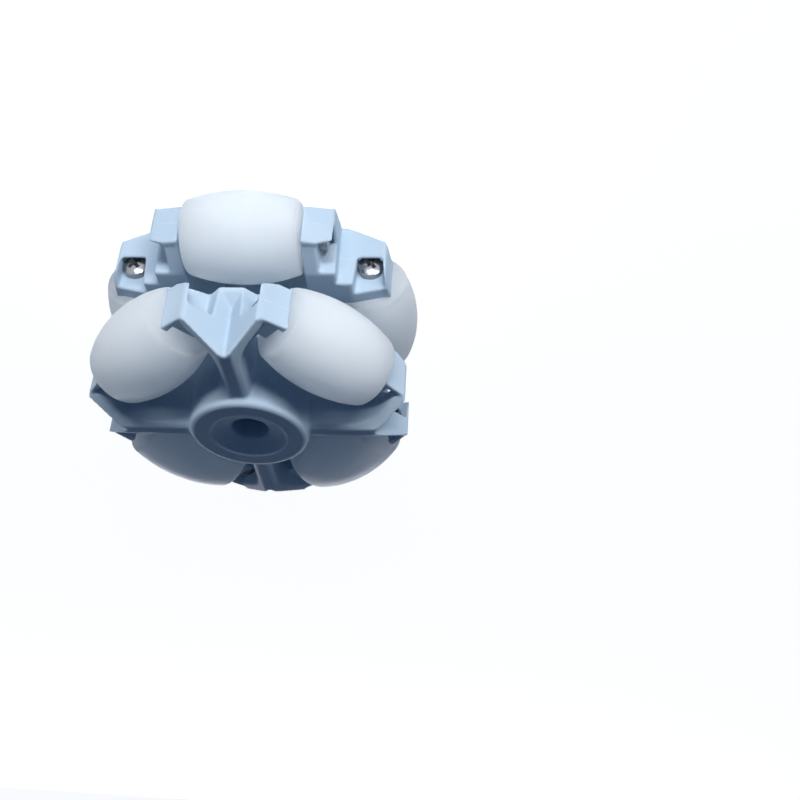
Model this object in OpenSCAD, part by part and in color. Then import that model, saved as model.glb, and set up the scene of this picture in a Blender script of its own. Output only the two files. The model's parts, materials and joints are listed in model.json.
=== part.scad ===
// Double-row omni wheel: two rows of four barrel rollers, staggered by half a pitch.
// Each row is a two-part moulded frame that clamps four pan-head screws at its parting
// plane, and each screw is the axle of one roller.
//
// Frame: millimetres, +Z along the wheel's axis, origin at the wheel's centre. The mid
// plane of the wheel is Z = 0 and the front row lies above it.
// Terms: a prong's own frame has X along the radius of the roller that it carries, and
// -Y along that roller's axle, from the roller's middle towards the arm.

/* [Wheel] */
// Diameter of the circle that the rollers' crowns run on
wheel_d = 58; // [52:0.5:72]
// Width over the two hub faces
wheel_w = 35.5; // [34.5:0.5:48]
// Distance between the axle planes of the two rows
row_gap = 18.6; // [18:0.2:19.4]

/* [Rollers] */
// Diameter of a roller at its crown
roller_d = 15.8; // [13:0.1:16]
// Length of a roller
roller_len = 19.8; // [16:0.1:20]
// Rounding of a roller's ends
roller_edge = 1.0; // [0.5:0.1:1.5]

/* [Axle screws] */
// Shank diameter of an axle screw
axle_d = 2.5; // [2:0.1:3]
// Diameter of the screw's pan head
head_d = 4.5; // [3.8:0.1:4.8]
// Height of the pan head
head_h = 1.8; // [1.4:0.1:2]
// Radius of the dome on the head
head_dome = 4.6; // [3.2:0.1:6]

/* [Hub] */
// Outer diameter of the hub
hub_d = 21.1; // [18:0.1:22]
// Diameter of the shaft bore
bore_d = 6.6; // [4:0.1:8]
// Rounding of the hub's rim
hub_edge = 1.0; // [0.4:0.1:1.5]
// Diameter of the shallow dish in the hub face
dish_d = 13.6; // [11:0.1:16]
// Depth of the step at the edge of the dish
dish_step = 0.5; // [0.3:0.1:1]
// Depth of the lead-in cone between the dish and the bore
cone_h = 1.2; // [0.6:0.1:2]

/* [Arms] */
// Width of a spoke
spoke_w = 3.7; // [3:0.1:4.5]
// Radius of the flare where a spoke spreads into its fork
flare_r = 8; // [5:0.5:9]
// Thickness of the wall that a screw head seats on
seat_wall = 2.65; // [2.2:0.05:3]
// Wall of the fork behind a screw head
fork_wall = 0.65; // [0.6:0.05:1]
// Thickness of the two branches of an arm's fork
branch_wall = 1.9; // [1.4:0.1:2.4]
// Wall between a screw pocket and the outside of its prong, at the roller's end
pocket_wall = 1.4; // [1.1:0.1:1.5]
// How far a prong's outside falls away towards the arm
prong_fall = 0.8; // [0.4:0.1:0.9]
// Widening of an open screw pocket on each side, from the axle plane to its mouth
pocket_draft = 0.4; // [0.2:0.1:0.5]
// Height of the slot between the fork and an open screw pocket
slot_h = 0.6; // [0.4:0.1:0.8]
// Reach of the inner frame's arms from the axle plane towards the mid plane
inner_reach = 5.5; // [4.8:0.1:5.8]
// Height that those arms keep at the outer walls of their prongs
end_h = 4.2; // [4:0.1:4.6]
// Fall of an outer wall's end towards the fork
end_fall = 1.1; // [0.6:0.1:1.4]
// Thickness of the web that closes the front arms' notch, at its outer edge
web_h = 1.0; // [0.8:0.1:1.4]
// Height of the axle blocks on the outer frame, above the axle plane
block_h = 2.4; // [2.2:0.1:3.2]
// Height of the hoods beside them
hood_h = 3.8; // [3.5:0.1:4.2]
// Setback of the spokes from the hub face
spoke_setback = 1.1; // [0.8:0.1:2]
// Width of the crest of an arm's front edge
crest_w = 2; // [1:0.5:3.5]
// Fall of that edge for each millimetre further across the arm
fork_slope = 0.65; // [0.4:0.05:0.65]

/* [Fits] */
// Gap between a roller's end and the prong beside it
end_gap = 0.4; // [0.3:0.05:0.6]
// Radial clearance of a roller on its axle
run_gap = 0.08; // [0.04:0.01:0.1]
// Clearance round a clamped shank and a screw head
hold_gap = 0.05; // [0.02:0.01:0.1]
// Clearance of the register between the two inner frames
register_gap = 0.05; // [0.03:0.01:0.1]

/* [Hidden] */
$fn = 96;
ROLLERS = 4;
PITCH = 360 / ROLLERS;
HALF = PITCH / 2;
EPS = 0.01;
FUSE = 0.001;
FRAME_COLOR = [0.66, 0.75, 0.86];
ROLLER_COLOR = [0.93, 0.94, 0.93];
STEEL_COLOR = [0.75, 0.76, 0.78];

// Wheel and rows
wheel_r = wheel_d / 2;
hub_r = hub_d / 2;
face_z = wheel_w / 2;
row_z = row_gap / 2;
axle_r = wheel_r - roller_d / 2;
trim_r = wheel_r - 0.6;

// A prong, measured from the roller's middle along its axle
q_roller = roller_len / 2 + end_gap;
q_seat = q_roller + seat_wall;
q_pocket = q_seat + head_h + 0.3;
q_fork = q_pocket + fork_wall;
q_branch = q_fork - branch_wall;

// A prong, measured along the roller's radius
pocket_w = head_d + 2 * hold_gap;
p_pocket_in = axle_r - pocket_w / 2;
p_pocket_out = axle_r + pocket_w / 2;
p_top = p_pocket_out + pocket_wall;
p_top_fork = p_top - prong_fall;
p_block = p_pocket_in - 0.3;
p_ramp = p_pocket_in - 0.9;

// An arm: its reach across, the bottom of the notch between its prongs, and the outer
// edge and the greatest thickness of the web in that notch
arm_t = (p_top - q_roller) / sqrt(2) + 0.5;
notch_r = q_fork * sqrt(2);
web_r = (p_pocket_in - pocket_draft + q_fork) / sqrt(2) - 0.1;
web_root = 3.5;

// Heights above a row's axle plane
spoke_h = face_z - spoke_setback - row_z;
head_room = head_d / 2 + 0.15;
screw_len = 2 * q_seat - 0.2;

// Steps of the flare's curve, and how far its ends sink into the spoke and the branch
FLARE_STEPS = 6;
FLARE_SINK = 0.02;

// Length of the slope at the end of a prong's outer wall
lip_q = 2.9;

// Register between the two inner frames
register_d = 15;
register_h = 1.2;

// Phillips recess
cross_w = 0.7;
cross_l = 2.5;
cross_h = 0.9;

// ---- placing --------------------------------------------------------------------

// Puts the front row's geometry in place; a row's arms start on +X.
module front_row() {
    translate([0, 0, row_z]) children();
}

// The rear row is the front row mirrored at the mid plane and turned by half a pitch.
module rear_row() {
    mirror([0, 0, 1]) translate([0, 0, row_z]) rotate([0, 0, HALF]) children();
}

// Repeats an arm's geometry for all arms of a row.
module each_arm() {
    for (i = [0 : ROLLERS - 1]) rotate([0, 0, i * PITCH]) children();
}

// Repeats a prong's geometry, given in the prong's own frame, on both sides of an arm.
module each_prong() {
    for (side = [0, 1]) mirror([0, side, 0]) rotate([0, 0, HALF]) children();
}

// Lays a roller or screw, modelled along +Z, on axle number i of a row. The screw's head
// lies at the axle's forward end in the sense of rotation, or at the other if flipped.
module on_axle(i, flip = false) {
    rotate([0, 0, HALF + (i - 1) * PITCH])
        translate([axle_r, 0, 0])
            rotate([flip ? 90 : -90, 0, 0]) children();
}

// ---- rollers ----------------------------------------------------------------------

// Half section of a roller: the crown is an arc of the wheel's own circle, so that four
// rollers make one round tread, and the ends are rounded tangent to it.
module roller_section() {
    s_edge = roller_len / 2 - roller_edge;
    r_edge = sqrt(pow(wheel_r - roller_edge, 2) - pow(s_edge, 2)) - axle_r + FUSE;
    s_blend = s_edge * wheel_r / (wheel_r - roller_edge);
    difference() {
        union() {
            intersection() {
                translate([-axle_r, 0]) circle(r = wheel_r, $fn = 240);
                translate([0, -s_blend]) square([wheel_r, 2 * s_blend]);
            }
            translate([0, -roller_len / 2]) square([r_edge, roller_len]);
            for (s = [-1, 1]) translate([r_edge, s * s_edge]) circle(r = roller_edge);
        }
        translate([-wheel_r, -wheel_r]) square([wheel_r + axle_d / 2 + run_gap, wheel_d]);
    }
}

module roller() {
    color(ROLLER_COLOR) rotate_extrude() roller_section();
}

// ---- axle screws ------------------------------------------------------------------

// Pan-head screw along +Z: the head's seat is at Z = q_seat and the shank points down.
module axle_screw() {
    color(STEEL_COLOR) translate([0, 0, q_seat]) difference() {
        union() {
            translate([0, 0, -screw_len]) cylinder(d = axle_d, h = screw_len + EPS);
            intersection() {
                cylinder(d = head_d, h = head_h);
                translate([0, 0, head_h - head_dome]) sphere(r = head_dome);
            }
        }
        for (a = [45, 135])
            rotate([0, 0, a])
                translate([-cross_l / 2, -cross_w / 2, head_h - cross_h])
                    cube([cross_l, cross_w, head_h]);
    }
}

// ---- frame pieces -----------------------------------------------------------------

// Outline of a prong in its own frame.
module prong_plan(p_from) {
    polygon([
        [p_from, -q_fork], [p_top_fork, -q_fork], [p_top, -q_roller], [p_from, -q_roller]
    ]);
}

// Bores of the axles through the seat walls, in the plane where the two frames meet.
module axle_grooves() {
    each_arm() each_prong()
        translate([axle_r, -q_roller + 1, 0])
            rotate([90, 0, 0]) cylinder(d = axle_d + 2 * hold_gap, h = seat_wall + 1.5);
}

// Trims the arms to just inside the tread circle.
module tread_trim(z0, z1) {
    translate([0, 0, z0]) cylinder(r = trim_r, h = z1 - z0, $fn = 240);
}

// Hub of an outer frame, with a rounded rim.
module outer_hub() {
    h = face_z - row_z;
    rotate_extrude() {
        square([hub_r, h - hub_edge]);
        square([hub_r - hub_edge, h]);
        translate([hub_r - hub_edge, h - hub_edge]) circle(r = hub_edge);
    }
}

// Mouth of the bore: a shallow dish with a sloping edge, then the lead-in cone.
module hub_mouth() {
    h = face_z - row_z;
    dish_in = dish_d - 2 * dish_step;
    translate([0, 0, h - dish_step])
        cylinder(d1 = dish_in, d2 = dish_d, h = dish_step + FUSE);
    translate([0, 0, h - dish_step - cone_h])
        cylinder(d1 = bore_d, d2 = dish_in - 1, h = cone_h + FUSE);
    translate([0, 0, -1]) cylinder(d = bore_d, h = wheel_w);
}

// Front edge of an arm: a narrow crest on the spoke, falling away over the fork.
module fork_envelope() {
    edge_h = spoke_h - fork_slope * (arm_t - crest_w / 2);
    rotate([90, 0, 90]) linear_extrude(height = wheel_r) polygon([
        [-arm_t, -1], [arm_t, -1], [arm_t, edge_h], [crest_w / 2, spoke_h],
        [-crest_w / 2, spoke_h], [-arm_t, edge_h]
    ]);
}

// Outline of one side of a spoke where it flares into a branch of the fork: an arc that
// meets the spoke's side and the branch's face, which lie 45 degrees apart.
module flare_plan() {
    t_mid = spoke_w / 2 + flare_r - FLARE_SINK;
    r_mid = t_mid + (q_branch - flare_r) * sqrt(2) + 2 * FLARE_SINK;
    arc = [for (i = [0 : FLARE_STEPS])
        let (a = -90 + 45 * i / FLARE_STEPS)
        [r_mid + flare_r * cos(a), t_mid + flare_r * sin(a)]];
    tip = arc[FLARE_STEPS];
    polygon(concat([[r_mid, 0]], arc, [
        [tip[0] + branch_wall / 2, tip[1] - branch_wall / 2],
        [q_branch * sqrt(2) + branch_wall / 2, 0]
    ]));
}

// One arm of an outer frame: a spoke that flares into a fork of two branches, and at the
// end of each branch a hood over the screw's head with a block on the axle.
module outer_arm() {
    spoke_end = q_branch * sqrt(2) + branch_wall / 2;
    intersection() {
        fork_envelope();
        union() {
            translate([0, -spoke_w / 2, 0]) cube([spoke_end, spoke_w, spoke_h]);
            for (side = [0, 1])
                mirror([0, side, 0]) linear_extrude(height = spoke_h) flare_plan();
            each_prong()
                translate([q_branch, -q_fork, 0])
                    cube([p_top_fork - q_branch, branch_wall, spoke_h]);
        }
    }
    each_prong() {
        linear_extrude(height = block_h) prong_plan(p_block);
        difference() {
            linear_extrude(height = hood_h) prong_plan(p_pocket_out);
            translate([0, -q_branch, block_h])
                cube([p_pocket_out + 0.1, q_branch, hood_h]);
        }
    }
}

// Recesses in an outer frame for the upper half of the screw heads, and the low slots
// through the fork that the heads show in.
module head_recesses() {
    each_arm() each_prong() {
        translate([p_pocket_in, -q_pocket, -1])
            cube([pocket_w, q_pocket - q_seat, head_room + 1]);
        translate([p_pocket_in, -q_fork - 1, -1])
            cube([pocket_w, q_fork + 1 - q_seat, slot_h + 1]);
    }
}

// Outer frame of a row, above its axle plane.
module outer_frame() {
    color(FRAME_COLOR) difference() {
        intersection() {
            union() {
                outer_hub();
                each_arm() outer_arm();
            }
            tread_trim(0, face_z);
        }
        axle_grooves();
        head_recesses();
        hub_mouth();
    }
}

// One prong of an inner frame in its own frame: full height over the arm's middle, then
// a ramp down to its outer wall, whose end slopes away towards the fork.
module inner_prong() {
    difference() {
        intersection() {
            rotate([90, 0, 0]) linear_extrude(height = wheel_r) polygon([
                [0, 0], [0, -inner_reach], [p_ramp, -inner_reach],
                [p_pocket_out, -end_h], [wheel_r, -end_h], [wheel_r, 0]
            ]);
            translate([0, 0, -inner_reach - 1])
                linear_extrude(height = inner_reach + 2) prong_plan(q_roller);
        }
        translate([p_pocket_out, 0, 0])
            rotate([90, 0, 90]) linear_extrude(height = wheel_r) polygon([
                [-q_fork - 1, -inner_reach], [-q_fork + lip_q, -inner_reach],
                [-q_fork + lip_q, -end_h], [-q_fork, -end_h + end_fall],
                [-q_fork - 1, -end_h + end_fall]
            ]);
    }
}

// Open pocket for the lower half of a screw head, in the prong's own frame. Its sides
// draw apart towards the mouth.
module open_pocket() {
    mouth = inner_reach + 1;
    spread = pocket_draft * mouth / inner_reach;
    translate([0, -q_seat, 0])
        rotate([90, 0, 0]) linear_extrude(height = q_fork) polygon([
            [p_pocket_in, 0], [p_pocket_in - spread, -mouth],
            [p_pocket_out + spread, -mouth], [p_pocket_out, 0],
            [p_pocket_out, 1], [p_pocket_in, 1]
        ]);
}

// One arm of an inner frame: a spoke and two solid prongs that meet in a notch, each with
// an open screw pocket. The front row's notches are closed by a web.
module inner_arm(web) {
    web_w = 2 * (web_r - notch_r) + 0.2;
    difference() {
        union() {
            translate([0, -spoke_w / 2, -inner_reach]) cube([q_fork, spoke_w, inner_reach]);
            each_prong() inner_prong();
            if (web > 0)
                translate([0, 0, -inner_reach]) rotate([90, 0, 0])
                    linear_extrude(height = web_w, center = true) polygon([
                        [notch_r - 1, 0], [web_r, 0], [web_r, web],
                        [notch_r - 0.1, web_root], [notch_r - 1, web_root]
                    ]);
        }
        each_prong() open_pocket();
    }
}

// Inner frame of a row, from its axle plane to the mid plane, before it is bored.
module inner_frame(web = 0) {
    color(FRAME_COLOR) difference() {
        union() {
            translate([0, 0, -row_z]) cylinder(r = hub_r, h = row_z);
            intersection() {
                each_arm() inner_arm(web);
                tread_trim(-inner_reach, 0);
            }
        }
        axle_grooves();
    }
}

// Bore for the shaft, right through the wheel.
module shaft_bore() {
    translate([0, 0, -wheel_w]) cylinder(d = bore_d, h = 2 * wheel_w);
}

// Octagonal register that centres the rows on each other and sets their stagger.
module register(gap) {
    cylinder(d = register_d + 2 * gap, h = register_h + gap, $fn = 8);
}

// ---- nodes ------------------------------------------------------------------------

module front_outer_frame() { front_row() outer_frame(); }
module rear_outer_frame() { rear_row() outer_frame(); }

module front_inner_frame() {
    color(FRAME_COLOR) difference() {
        front_row() inner_frame(web_h);
        translate([0, 0, -EPS]) register(register_gap);
        shaft_bore();
    }
}

module rear_inner_frame() {
    color(FRAME_COLOR) difference() {
        union() {
            rear_row() inner_frame();
            translate([0, 0, -EPS]) register(0);
        }
        shaft_bore();
    }
}

module front_roller(i) { front_row() on_axle(i) roller(); }
module rear_roller(i) { rear_row() on_axle(i) roller(); }
module front_axle(i) { front_row() on_axle(i) axle_screw(); }
module rear_axle(i) { rear_row() on_axle(i, i > 2) axle_screw(); }

front_outer_frame();
front_inner_frame();
rear_inner_frame();
rear_outer_frame();
front_roller(1);  // front_roller_1
front_roller(2);  // front_roller_2
front_roller(3);  // front_roller_3
front_roller(4);  // front_roller_4
rear_roller(1);  // rear_roller_1
rear_roller(2);  // rear_roller_2
rear_roller(3);  // rear_roller_3
rear_roller(4);  // rear_roller_4
front_axle(1);  // front_axle_1
front_axle(2);  // front_axle_2
front_axle(3);  // front_axle_3
front_axle(4);  // front_axle_4
rear_axle(1);  // rear_axle_1
rear_axle(2);  // rear_axle_2
rear_axle(3);  // rear_axle_3
rear_axle(4);  // rear_axle_4
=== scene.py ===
"""Looks of a double-row omni wheel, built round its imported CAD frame.

The wheel has two rows of barrel rollers held in moulded frames. This script dresses the
frames as satin moulded plastic, the rollers as milky plastic and the axle screws as
bright plated steel, rounds the moulded edges, and sets a plain studio round the part.
"""

from __future__ import annotations

import json
import logging
import math
from dataclasses import dataclass
from enum import Enum

import bpy
from mathutils import Matrix, Vector

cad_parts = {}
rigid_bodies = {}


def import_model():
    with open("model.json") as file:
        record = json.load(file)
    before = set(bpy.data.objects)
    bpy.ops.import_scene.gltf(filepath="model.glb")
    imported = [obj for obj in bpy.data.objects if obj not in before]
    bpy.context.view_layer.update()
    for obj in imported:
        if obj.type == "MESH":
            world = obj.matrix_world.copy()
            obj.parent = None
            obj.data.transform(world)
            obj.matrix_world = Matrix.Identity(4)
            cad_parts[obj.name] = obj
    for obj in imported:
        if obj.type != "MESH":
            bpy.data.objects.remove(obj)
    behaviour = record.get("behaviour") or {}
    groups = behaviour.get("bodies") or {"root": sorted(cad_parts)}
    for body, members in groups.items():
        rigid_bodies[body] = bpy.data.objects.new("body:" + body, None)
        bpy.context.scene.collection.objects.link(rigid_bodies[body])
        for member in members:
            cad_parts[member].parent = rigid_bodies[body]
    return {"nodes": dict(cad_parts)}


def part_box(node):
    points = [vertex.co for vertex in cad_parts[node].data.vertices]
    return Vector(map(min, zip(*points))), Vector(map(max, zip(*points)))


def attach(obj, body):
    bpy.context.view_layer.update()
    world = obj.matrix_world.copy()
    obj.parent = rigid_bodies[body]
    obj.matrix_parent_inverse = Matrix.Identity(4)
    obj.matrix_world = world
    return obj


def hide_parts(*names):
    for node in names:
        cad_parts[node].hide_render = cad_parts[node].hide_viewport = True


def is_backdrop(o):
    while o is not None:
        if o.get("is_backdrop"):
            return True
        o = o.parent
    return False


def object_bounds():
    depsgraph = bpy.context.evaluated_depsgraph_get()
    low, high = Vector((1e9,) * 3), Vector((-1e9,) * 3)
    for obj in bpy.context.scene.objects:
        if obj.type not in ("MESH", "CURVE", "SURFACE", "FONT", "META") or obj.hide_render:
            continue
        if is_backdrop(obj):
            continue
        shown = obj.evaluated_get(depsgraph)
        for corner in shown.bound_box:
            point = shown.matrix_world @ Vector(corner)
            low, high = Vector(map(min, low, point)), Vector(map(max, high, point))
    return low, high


LOG = logging.getLogger("omni_wheel")
MM = 0.001

Colour = tuple[float, float, float]
BLACK: Colour = (0.0, 0.0, 0.0)
WHITE: Colour = (1.0, 1.0, 1.0)


class Row(Enum):
    """The two rows of the wheel."""

    FRONT = "front"
    REAR = "rear"


# ---- small helpers -----------------------------------------------------------------


def deselect_all() -> None:
    """Clears the selection, so that an operator acts only on its own piece."""
    for item in bpy.context.scene.objects:
        item.select_set(False)


def set_input(shader: bpy.types.Node, name: str, value: object) -> None:
    """Sets a shader's own socket.

    Args:
        shader: The node that holds the socket.
        name: The socket's name.
        value: The constant to set.
    """
    shader.inputs[name].default_value = value


def add_socket(
    group: bpy.types.NodeTree, name: str, kind: str, out: bool = False
) -> bpy.types.NodeTreeInterfaceSocket:
    """Adds a named socket to a node group.

    Args:
        group: The node group.
        name: The socket's name.
        kind: Float, Color or Vector.
        out: True for an output.

    Returns:
        The new socket of the group's interface.
    """
    return group.interface.new_socket(
        name=name, in_out="OUTPUT" if out else "INPUT", socket_type=f"NodeSocket{kind}"
    )


def group_ends(group: bpy.types.NodeTree) -> tuple[bpy.types.Node, bpy.types.Node]:
    """Adds a group's input and output nodes.

    Args:
        group: The node group.

    Returns:
        The input node and the output node.
    """
    return group.nodes.new("NodeGroupInput"), group.nodes.new("NodeGroupOutput")


def noise(tree: bpy.types.NodeTree, scale: float, detail: float, rough: float) -> bpy.types.Node:
    """Adds a noise texture with fixed settings.

    Args:
        tree: The tree that gets the node.
        scale: Features for each metre.
        detail: Octaves.
        rough: Weight of the finer octaves.

    Returns:
        The noise node, with its vector left open.
    """
    node = tree.nodes.new("ShaderNodeTexNoise")
    set_input(node, "Scale", scale)
    set_input(node, "Detail", detail)
    set_input(node, "Roughness", rough)
    return node


def remap(
    tree: bpy.types.NodeTree,
    source: bpy.types.NodeSocket,
    low: float,
    high: float,
    to_low: float,
    to_high: float,
) -> bpy.types.Node:
    """Adds a smooth remapping of a value.

    Args:
        tree: The tree that gets the node.
        source: The output socket to remap.
        low: Input that gives to_low.
        high: Input that gives to_high.
        to_low: Lowest result.
        to_high: Highest result.

    Returns:
        The Map Range node.
    """
    node = tree.nodes.new("ShaderNodeMapRange")
    node.interpolation_type = "SMOOTHSTEP"
    for name, value in (
        ("From Min", low), ("From Max", high), ("To Min", to_low), ("To Max", to_high)
    ):
        set_input(node, name, value)
    tree.links.new(source, node.inputs["Value"])
    return node


def mix_colour(
    tree: bpy.types.NodeTree,
    factor: bpy.types.NodeSocket,
    a: bpy.types.NodeSocket | Colour,
    b: bpy.types.NodeSocket | Colour,
) -> bpy.types.NodeSocket:
    """Mixes two colours.

    Args:
        tree: The tree that gets the node.
        factor: Output socket that drives the mix.
        a: First colour, as an output socket or a plain colour.
        b: Second colour, as an output socket or a plain colour.

    Returns:
        The mixed colour's output socket.
    """
    node = tree.nodes.new("ShaderNodeMix")
    node.data_type = "RGBA"
    tree.links.new(factor, node.inputs["Factor"])
    for name, value in (("A", a), ("B", b)):
        socket = next(s for s in node.inputs if s.name == name and s.type == "RGBA")
        if isinstance(value, tuple):
            socket.default_value = (*value, 1.0)
        else:
            tree.links.new(value, socket)
    return next(s for s in node.outputs if s.type == "RGBA")


def seen_rays(tree: bpy.types.NodeTree, path: bpy.types.Node) -> bpy.types.NodeSocket:
    """Marks the rays that see or mirror the surround.

    Args:
        tree: The tree that gets the nodes.
        path: Its Light Path node.

    Returns:
        An output socket that is 1 for camera, glossy and transmission rays, else 0.
    """
    last = path.outputs["Is Camera Ray"]
    for name in ("Is Glossy Ray", "Is Transmission Ray"):
        either = tree.nodes.new("ShaderNodeMath")
        either.operation = "MAXIMUM"
        tree.links.new(last, either.inputs[0])
        tree.links.new(path.outputs[name], either.inputs[1])
        last = either.outputs[0]
    return last


# ---- shared effects ----------------------------------------------------------------

# Noise scales, in features for each metre.
PATCH_SCALE = 70.0
FLOW_SCALE = 240.0
BREAKUP_SCALE = 900.0
GRAIN_SCALE = 2600.0
# How much of the height comes from the fine grain, beside the flow marks.
GRAIN_SHARE = 0.35
GRAIN_HEIGHT = 0.06 * MM
# Cosines between the rounded and the true normal: a full edge, and a flat.
EDGE_COSINE = 0.72
FLAT_COSINE = 0.985
BEVEL_SAMPLES = 6
PLASTIC_IOR = 1.5


@dataclass(frozen=True)
class SharedEffects:
    """Node groups that more than one finish uses."""

    grain: bpy.types.NodeTree
    # Mask for the lighter highlight that is painted along edges.
    edge_wear: bpy.types.NodeTree

    @classmethod
    def build(cls) -> "SharedEffects":
        """Builds every group once.

        Returns:
            The set of groups.
        """
        return cls(grain=cls.moulded_grain(), edge_wear=cls.painted_edge_highlight())

    @staticmethod
    def moulded_grain() -> bpy.types.NodeTree:
        """Makes the fine grain and slow flow marks of a moulded surface.

        Returns:
            A group that puts out a patch mask, a grain mask and a bumped normal.
        """
        group = bpy.data.node_groups.new("moulded_grain", "ShaderNodeTree")
        add_socket(group, "Vector", "Vector")
        add_socket(group, "Depth", "Float").default_value = 0.1
        add_socket(group, "Patches", "Float", out=True)
        add_socket(group, "Grain", "Float", out=True)
        add_socket(group, "Normal", "Vector", out=True)
        start, end = group_ends(group)
        patches = noise(group, PATCH_SCALE, 3.0, 0.5)
        grain = noise(group, GRAIN_SCALE, 2.0, 0.55)
        flow = noise(group, FLOW_SCALE, 2.0, 0.5)
        height = group.nodes.new("ShaderNodeMath")
        height.operation = "MULTIPLY_ADD"
        height.inputs[1].default_value = GRAIN_SHARE
        bump = group.nodes.new("ShaderNodeBump")
        set_input(bump, "Distance", GRAIN_HEIGHT)
        for node in (patches, grain, flow):
            group.links.new(start.outputs["Vector"], node.inputs["Vector"])
        group.links.new(grain.outputs["Fac"], height.inputs[0])
        group.links.new(flow.outputs["Fac"], height.inputs[2])
        group.links.new(height.outputs[0], bump.inputs["Height"])
        group.links.new(start.outputs["Depth"], bump.inputs["Strength"])
        group.links.new(patches.outputs["Fac"], end.inputs["Patches"])
        group.links.new(grain.outputs["Fac"], end.inputs["Grain"])
        group.links.new(bump.outputs["Normal"], end.inputs["Normal"])
        return group

    @staticmethod
    def painted_edge_highlight() -> bpy.types.NodeTree:
        """Makes a painted-highlight mask that is near 1 along edges and 0 on flats.

        Returns:
            A group that puts out the mask.
        """
        group = bpy.data.node_groups.new("edge_wear", "ShaderNodeTree")
        add_socket(group, "Vector", "Vector")
        add_socket(group, "Radius", "Float").default_value = 0.4 * MM
        add_socket(group, "Mask", "Float", out=True)
        start, end = group_ends(group)
        round_normal = group.nodes.new("ShaderNodeBevel")
        round_normal.samples = BEVEL_SAMPLES
        true_normal = group.nodes.new("ShaderNodeNewGeometry")
        dot = group.nodes.new("ShaderNodeVectorMath")
        dot.operation = "DOT_PRODUCT"
        breakup = noise(group, BREAKUP_SCALE, 3.0, 0.6)
        group.links.new(start.outputs["Radius"], round_normal.inputs["Radius"])
        group.links.new(round_normal.outputs["Normal"], dot.inputs[0])
        group.links.new(true_normal.outputs["Normal"], dot.inputs[1])
        edge = remap(group, dot.outputs["Value"], EDGE_COSINE, FLAT_COSINE, 1.0, 0.0)
        group.links.new(start.outputs["Vector"], breakup.inputs["Vector"])
        patchy = remap(group, breakup.outputs["Fac"], 0.35, 0.65, 0.35, 1.0)
        product = group.nodes.new("ShaderNodeMath")
        product.operation = "MULTIPLY"
        group.links.new(edge.outputs["Result"], product.inputs[0])
        group.links.new(patchy.outputs["Result"], product.inputs[1])
        group.links.new(product.outputs[0], end.inputs["Mask"])
        return group


# ---- finishes ----------------------------------------------------------------------


def start_material(name: str) -> tuple[bpy.types.Material, bpy.types.NodeTree, bpy.types.Node]:
    """Starts a material that is built from nodes.

    Args:
        name: The material's name.

    Returns:
        The material, its node tree and its Principled shader.
    """
    made = bpy.data.materials.new(name)
    made.use_nodes = True
    return made, made.node_tree, made.node_tree.nodes["Principled BSDF"]


def place_group(tree: bpy.types.NodeTree, group: bpy.types.NodeTree) -> bpy.types.Node:
    """Places a shared group in a material.

    Args:
        tree: The material's node tree.
        group: The shared group.

    Returns:
        The group node.
    """
    node = tree.nodes.new("ShaderNodeGroup")
    node.node_tree = group
    return node


@dataclass(frozen=True)
class MouldedPlastic:
    """Satin moulded plastic with grain, slow colour patches and a lighter painted highlight along
    its edges.
    """

    name: str
    colour: Colour
    patch_colour: Colour
    # Lighter colour painted along every edge as a highlight.
    edge_highlight_colour: Colour
    rough_low: float
    rough_high: float
    grain_depth: float
    edge_radius: float
    gloss: float = 0.1
    glow_weight: float = 0.0
    glow_radius: Colour = (1.0, 1.0, 1.0)
    glow_scale: float = 1.0 * MM

    def material(self, effects: SharedEffects) -> bpy.types.Material:
        """Builds the material.

        Args:
            effects: The shared node groups.

        Returns:
            The new material.
        """
        made, tree, shader = start_material(self.name)
        place = tree.nodes.new("ShaderNodeTexCoord")
        grain = place_group(tree, effects.grain)
        set_input(grain, "Depth", self.grain_depth)
        # The edge mask paints a lighter highlight along the edges.
        wear = place_group(tree, effects.edge_wear)
        set_input(wear, "Radius", self.edge_radius)
        for node in (grain, wear):
            tree.links.new(place.outputs["Object"], node.inputs["Vector"])
        patch = remap(tree, grain.outputs["Patches"], 0.35, 0.65, 0.0, 1.0)
        body = mix_colour(tree, patch.outputs["Result"], self.colour, self.patch_colour)
        # Mixes in the lighter colour along edges: a painted highlight.
        colour = mix_colour(tree, wear.outputs["Mask"], body, self.edge_highlight_colour)
        rough = remap(tree, grain.outputs["Grain"], 0.3, 0.7, self.rough_low, self.rough_high)
        tree.links.new(colour, shader.inputs["Base Color"])
        tree.links.new(rough.outputs["Result"], shader.inputs["Roughness"])
        tree.links.new(grain.outputs["Normal"], shader.inputs["Normal"])
        set_input(shader, "IOR", PLASTIC_IOR)
        set_input(shader, "Specular IOR Level", self.gloss)
        if self.glow_weight > 0.0:
            shader.subsurface_method = "BURLEY"
            set_input(shader, "Subsurface Weight", self.glow_weight)
            set_input(shader, "Subsurface Radius", self.glow_radius)
            set_input(shader, "Subsurface Scale", self.glow_scale)
        return made


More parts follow.
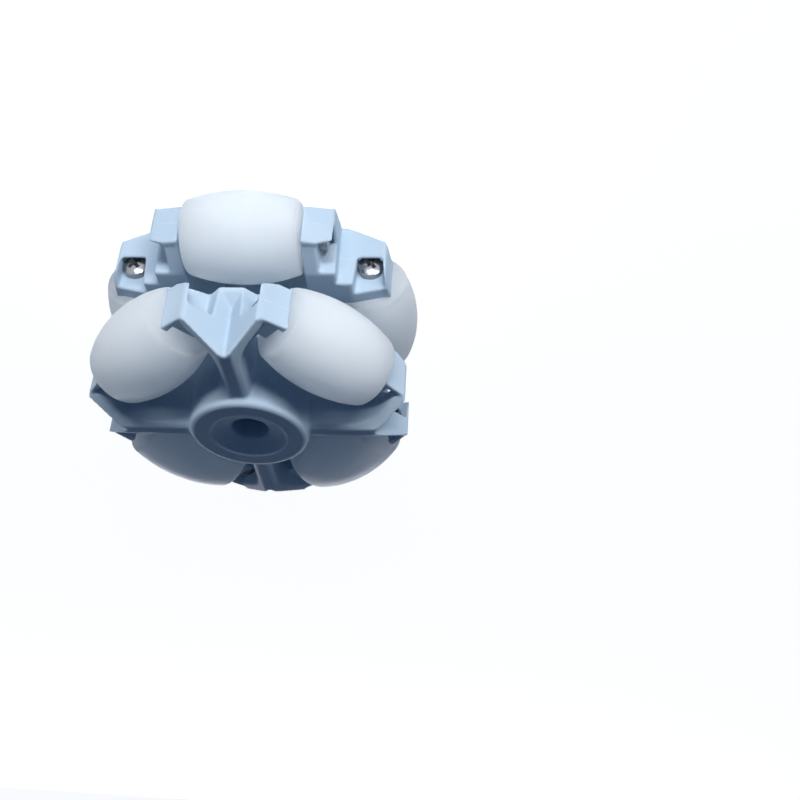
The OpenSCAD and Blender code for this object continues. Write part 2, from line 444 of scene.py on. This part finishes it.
@dataclass(frozen=True)
class PlatedSteel:
    """Bright plated steel with fine turning marks and dull spots."""

    name: str
    colour: Colour
    dull_colour: Colour
    rough_low: float
    rough_high: float
    grain_depth: float = 0.15

    def material(self, effects: SharedEffects) -> bpy.types.Material:
        """Builds the material.

        Args:
            effects: The shared node groups.

        Returns:
            The new material.
        """
        made, tree, shader = start_material(self.name)
        place = tree.nodes.new("ShaderNodeTexCoord")
        grain = place_group(tree, effects.grain)
        set_input(grain, "Depth", self.grain_depth)
        tree.links.new(place.outputs["Object"], grain.inputs["Vector"])
        spots = remap(tree, grain.outputs["Patches"], 0.45, 0.7, 0.0, 1.0)
        colour = mix_colour(tree, spots.outputs["Result"], self.colour, self.dull_colour)
        rough = remap(tree, grain.outputs["Grain"], 0.3, 0.7, self.rough_low, self.rough_high)
        tree.links.new(colour, shader.inputs["Base Color"])
        tree.links.new(rough.outputs["Result"], shader.inputs["Roughness"])
        tree.links.new(grain.outputs["Normal"], shader.inputs["Normal"])
        set_input(shader, "Metallic", 1.0)
        return made


FRAME_PLASTIC = MouldedPlastic(
    name="blue_grey_frame_plastic",
    colour=(0.50, 0.635, 0.77),
    patch_colour=(0.535, 0.665, 0.79),
    # Edge colour: a painted highlight along the frame's edges.
    edge_highlight_colour=(0.63, 0.74, 0.84),
    rough_low=0.46,
    rough_high=0.60,
    grain_depth=0.35,
    edge_radius=0.35 * MM,
)
ROLLER_PLASTIC = MouldedPlastic(
    name="milky_roller_plastic",
    colour=(0.86, 0.935, 0.99),
    patch_colour=(0.88, 0.945, 0.99),
    # Edge colour: a painted highlight along the rollers' edges.
    edge_highlight_colour=(0.90, 0.955, 0.99),
    rough_low=0.36,
    rough_high=0.48,
    grain_depth=0.25,
    edge_radius=0.4 * MM,
    glow_weight=1.0,
    glow_radius=(0.92, 0.97, 1.0),
    glow_scale=30.0 * MM,
)
SCREW_STEEL = PlatedSteel(
    name="bright_plated_steel",
    colour=(0.30, 0.31, 0.33),
    dull_colour=(0.20, 0.20, 0.21),
    rough_low=0.14,
    rough_high=0.26,
)


# ---- the wheel's pieces ------------------------------------------------------------


def dress(piece: bpy.types.Object, material: bpy.types.Material) -> None:
    """Gives a piece one material all over.

    Args:
        piece: The piece to dress.
        material: Its material.
    """
    slots = piece.material_slots
    if not slots:
        piece.data.materials.append(material)
    for slot in slots:
        slot.material = material


@dataclass(frozen=True)
class SoftMoulding:
    """Makes a soft-edged moulding from a crisp frame solid. Lengths are in metres.

    The face on the parting plane is first drawn out past that plane, and the overhang is
    cut off again once the rest is soft, so that both halves still meet in a fine line.
    """

    voxel: float = 0.25 * MM
    passes: int = 6
    overhang: float = 1.0 * MM
    merge_within: float = 0.001 * MM
    seam_within: float = 0.01 * MM
    crease_angle: float = math.radians(50.0)

    def piece_from(self, node: bpy.types.Object, seam_z: float, outward: float) -> bpy.types.Object:
        """Builds the moulding that stands for a frame node.

        Args:
            node: The frame's CAD object, which is left as it is.
            seam_z: Height of the parting plane.
            outward: 1 where the solid lies above the plane, -1 where it lies below.

        Returns:
            The new piece.
        """
        deselect_all()
        piece = node.copy()
        piece.data = node.data.copy()
        piece.name = f"{node.name}_moulding"
        bpy.context.scene.collection.objects.link(piece)
        piece.select_set(True)
        bpy.context.view_layer.objects.active = piece
        bpy.ops.object.mode_set(mode="EDIT")
        bpy.ops.mesh.select_mode(type="FACE")
        bpy.ops.mesh.select_all(action="SELECT")
        bpy.ops.mesh.remove_doubles(threshold=self.merge_within)
        bpy.ops.mesh.select_all(action="DESELECT")
        bpy.ops.object.mode_set(mode="OBJECT")
        for face in piece.data.polygons:
            level = abs(face.center.z - seam_z) < self.seam_within
            face.select = level and abs(face.normal.z) > 0.99
        bpy.ops.object.mode_set(mode="EDIT")
        bpy.ops.mesh.extrude_region_move(
            TRANSFORM_OT_translate={"value": (0.0, 0.0, -outward * self.overhang)}
        )
        bpy.ops.object.mode_set(mode="OBJECT")
        even = piece.modifiers.new("even_mesh", "REMESH")
        even.mode = "VOXEL"
        even.voxel_size = self.voxel
        even.use_smooth_shade = True
        soft = piece.modifiers.new("soft_edges", "SMOOTH")
        soft.factor = 0.5
        soft.iterations = self.passes
        for name in (even.name, soft.name):
            bpy.ops.object.modifier_apply(modifier=name)
        bpy.ops.object.mode_set(mode="EDIT")
        bpy.ops.mesh.select_all(action="SELECT")
        bpy.ops.mesh.bisect(
            plane_co=(0.0, 0.0, seam_z),
            plane_no=(0.0, 0.0, -outward),
            use_fill=True,
            clear_outer=True,
        )
        bpy.ops.object.mode_set(mode="OBJECT")
        bpy.ops.object.shade_smooth_by_angle(angle=self.crease_angle)
        deselect_all()
        return piece


@dataclass
class WheelRow:
    """One row: two frame mouldings, four rollers and four axle screws."""

    row: Row
    nodes: dict[str, bpy.types.Object]
    count: int = 4
    soft: SoftMoulding = SoftMoulding()

    def mouldings(self) -> list[bpy.types.Object]:
        """Builds the soft-edged pieces that stand for the row's two frames.

        Returns:
            The outer and the inner moulding.
        """
        made = []
        side = 1.0 if self.row is Row.FRONT else -1.0
        for part, away in (("outer", side), ("inner", -side)):
            node = self.nodes[f"{self.row.value}_{part}_frame"]
            low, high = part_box(node.name)
            seam_z = float(low[2] if away > 0 else high[2])
            piece = self.soft.piece_from(node, seam_z, away)
            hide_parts(node.name)
            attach(piece, "wheel_body")
            made.append(piece)
        return made

    def numbered(self, part: str) -> list[bpy.types.Object]:
        """Lists the row's repeated pieces.

        Args:
            part: roller or axle.

        Returns:
            The pieces in their order round the wheel.
        """
        return [self.nodes[f"{self.row.value}_{part}_{i}"] for i in range(1, self.count + 1)]

    def build(
        self,
        plastic: bpy.types.Material,
        white: bpy.types.Material,
        steel: bpy.types.Material,
    ) -> None:
        """Makes the row's mouldings and dresses all its pieces.

        Args:
            plastic: The frames' material.
            white: The rollers' material.
            steel: The screws' material.
        """
        for piece in self.mouldings():
            dress(piece, plastic)
            LOG.info("%s: %d faces, dressed", piece.name, len(piece.data.polygons))
        for piece in self.numbered("roller"):
            dress(piece, white)
            LOG.info("%s: roller dressed", piece.name)
        for piece in self.numbered("axle"):
            dress(piece, steel)
            LOG.info("%s: axle screw dressed", piece.name)


# ---- studio ------------------------------------------------------------------------


@dataclass(frozen=True)
class SoftLamp:
    """One long, low area light that faces the wheel."""

    name: str
    place: tuple[float, float, float]
    width: float
    watts: float
    height: float = 0.045

    def add(self) -> None:
        """Adds the lamp to the scene."""
        data = bpy.data.lights.new(self.name, "AREA")
        data.shape = "RECTANGLE"
        data.size = self.width
        data.size_y = self.height
        data.energy = self.watts
        place = Vector(self.place)
        lamp = bpy.data.objects.new(self.name, data)
        lamp.rotation_euler = place.to_track_quat("Z", "Y").to_euler()
        lamp.location = place
        bpy.context.scene.collection.objects.link(lamp)


STUDIO_LAMPS = (
    SoftLamp("key", (-0.12, -0.57, 0.008), 0.5, 3.1),
    SoftLamp("right_fill", (-0.5, -0.22, 0.008), 0.3, 0.5),
    SoftLamp("left_fill", (0.5, -0.22, 0.008), 0.3, 0.6),
    SoftLamp("back_fill", (0.1, 0.57, 0.008), 0.5, 0.8),
)


@dataclass
class Studio:
    """Plain pale floor, soft lights and the camera."""

    floor_z: float
    floor_size: float = 12.0
    floor_colour: Colour = (0.85, 0.86, 0.88)
    floor_white: float = 0.9
    shade_tint: Colour = (0.29, 0.52, 1.0)
    shade_level: float = 0.09
    eye: tuple[float, float, float] = (-0.03682, -0.14471, 0.10484)
    right: tuple[float, float, float] = (-0.9984, 0.0404, -0.0386)
    up: tuple[float, float, float] = (0.0147, -0.4766, -0.8790)
    lens: float = 43.305
    shift_x: float = -0.0056
    shift_y: float = 0.1034

    def floor(self) -> bpy.types.Object:
        """Makes the pale floor that shows the part's soft shadow.

        Returns:
            The floor.
        """
        deselect_all()
        bpy.ops.mesh.primitive_plane_add(size=self.floor_size, location=(0, 0, self.floor_z))
        floor = bpy.context.object
        floor.name = "studio_floor"
        bpy.ops.object.transform_apply(location=True, rotation=True, scale=True)
        made, tree, shader = start_material("pale_floor")
        set_input(shader, "Base Color", (*self.floor_colour, 1.0))
        set_input(shader, "Roughness", 0.95)
        set_input(shader, "Specular IOR Level", 0.1)
        set_input(shader, "Emission Strength", self.floor_white)
        path = tree.nodes.new("ShaderNodeLightPath")
        white = mix_colour(tree, seen_rays(tree, path), BLACK, WHITE)
        tree.links.new(white, shader.inputs["Emission Color"])
        floor.data.materials.append(made)
        floor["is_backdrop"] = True
        return floor

    def world(self) -> None:
        """Makes the surround: white where it is seen or mirrored, and a dim cool fill."""
        world = bpy.data.worlds.new("studio_surround")
        bpy.context.scene.world = world
        world.use_nodes = True
        tree = world.node_tree
        back = tree.nodes["Background"]
        path = tree.nodes.new("ShaderNodeLightPath")
        seen = seen_rays(tree, path)
        strength = tree.nodes.new("ShaderNodeMapRange")
        set_input(strength, "To Min", self.shade_level)
        set_input(strength, "To Max", 1.0)
        tree.links.new(seen, strength.inputs["Value"])
        tree.links.new(strength.outputs["Result"], back.inputs["Strength"])
        colour = mix_colour(tree, seen, self.shade_tint, WHITE)
        tree.links.new(colour, back.inputs["Color"])

    def camera(self) -> None:
        """Creates the camera and makes it the scene's."""
        data = bpy.data.cameras.new("studio_camera")
        data.lens = self.lens
        data.sensor_width = 36.0
        data.shift_x = self.shift_x
        data.shift_y = self.shift_y
        data.clip_start = 0.005
        camera = bpy.data.objects.new("studio_camera", data)
        right = Vector(self.right).normalized()
        back = right.cross(Vector(self.up)).normalized()
        up = back.cross(right)
        turn = Matrix((right, up, back)).transposed().to_4x4()
        camera.matrix_world = Matrix.Translation(Vector(self.eye)) @ turn
        bpy.context.scene.collection.objects.link(camera)
        bpy.context.scene.camera = camera

    def build(self) -> None:
        """Builds the whole studio."""
        self.camera()
        self.floor()
        self.world()
        for lamp in STUDIO_LAMPS:
            lamp.add()
        bpy.context.scene.view_settings.view_transform = "Standard"
        LOG.info("studio built")


def main() -> None:
    """Builds the wheel's looks and the studio."""
    logging.basicConfig(level=logging.INFO, format="%(name)s: %(message)s")
    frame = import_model()
    cad_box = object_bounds()
    deselect_all()
    studio = Studio(floor_z=float(cad_box[0][2]))
    studio.build()
    effects = SharedEffects.build()
    plastic = FRAME_PLASTIC.material(effects)
    white = ROLLER_PLASTIC.material(effects)
    steel = SCREW_STEEL.material(effects)
    for row in Row:
        WheelRow(row=row, nodes=frame["nodes"]).build(plastic, white, steel)


if __name__ == "__main__":
    main()
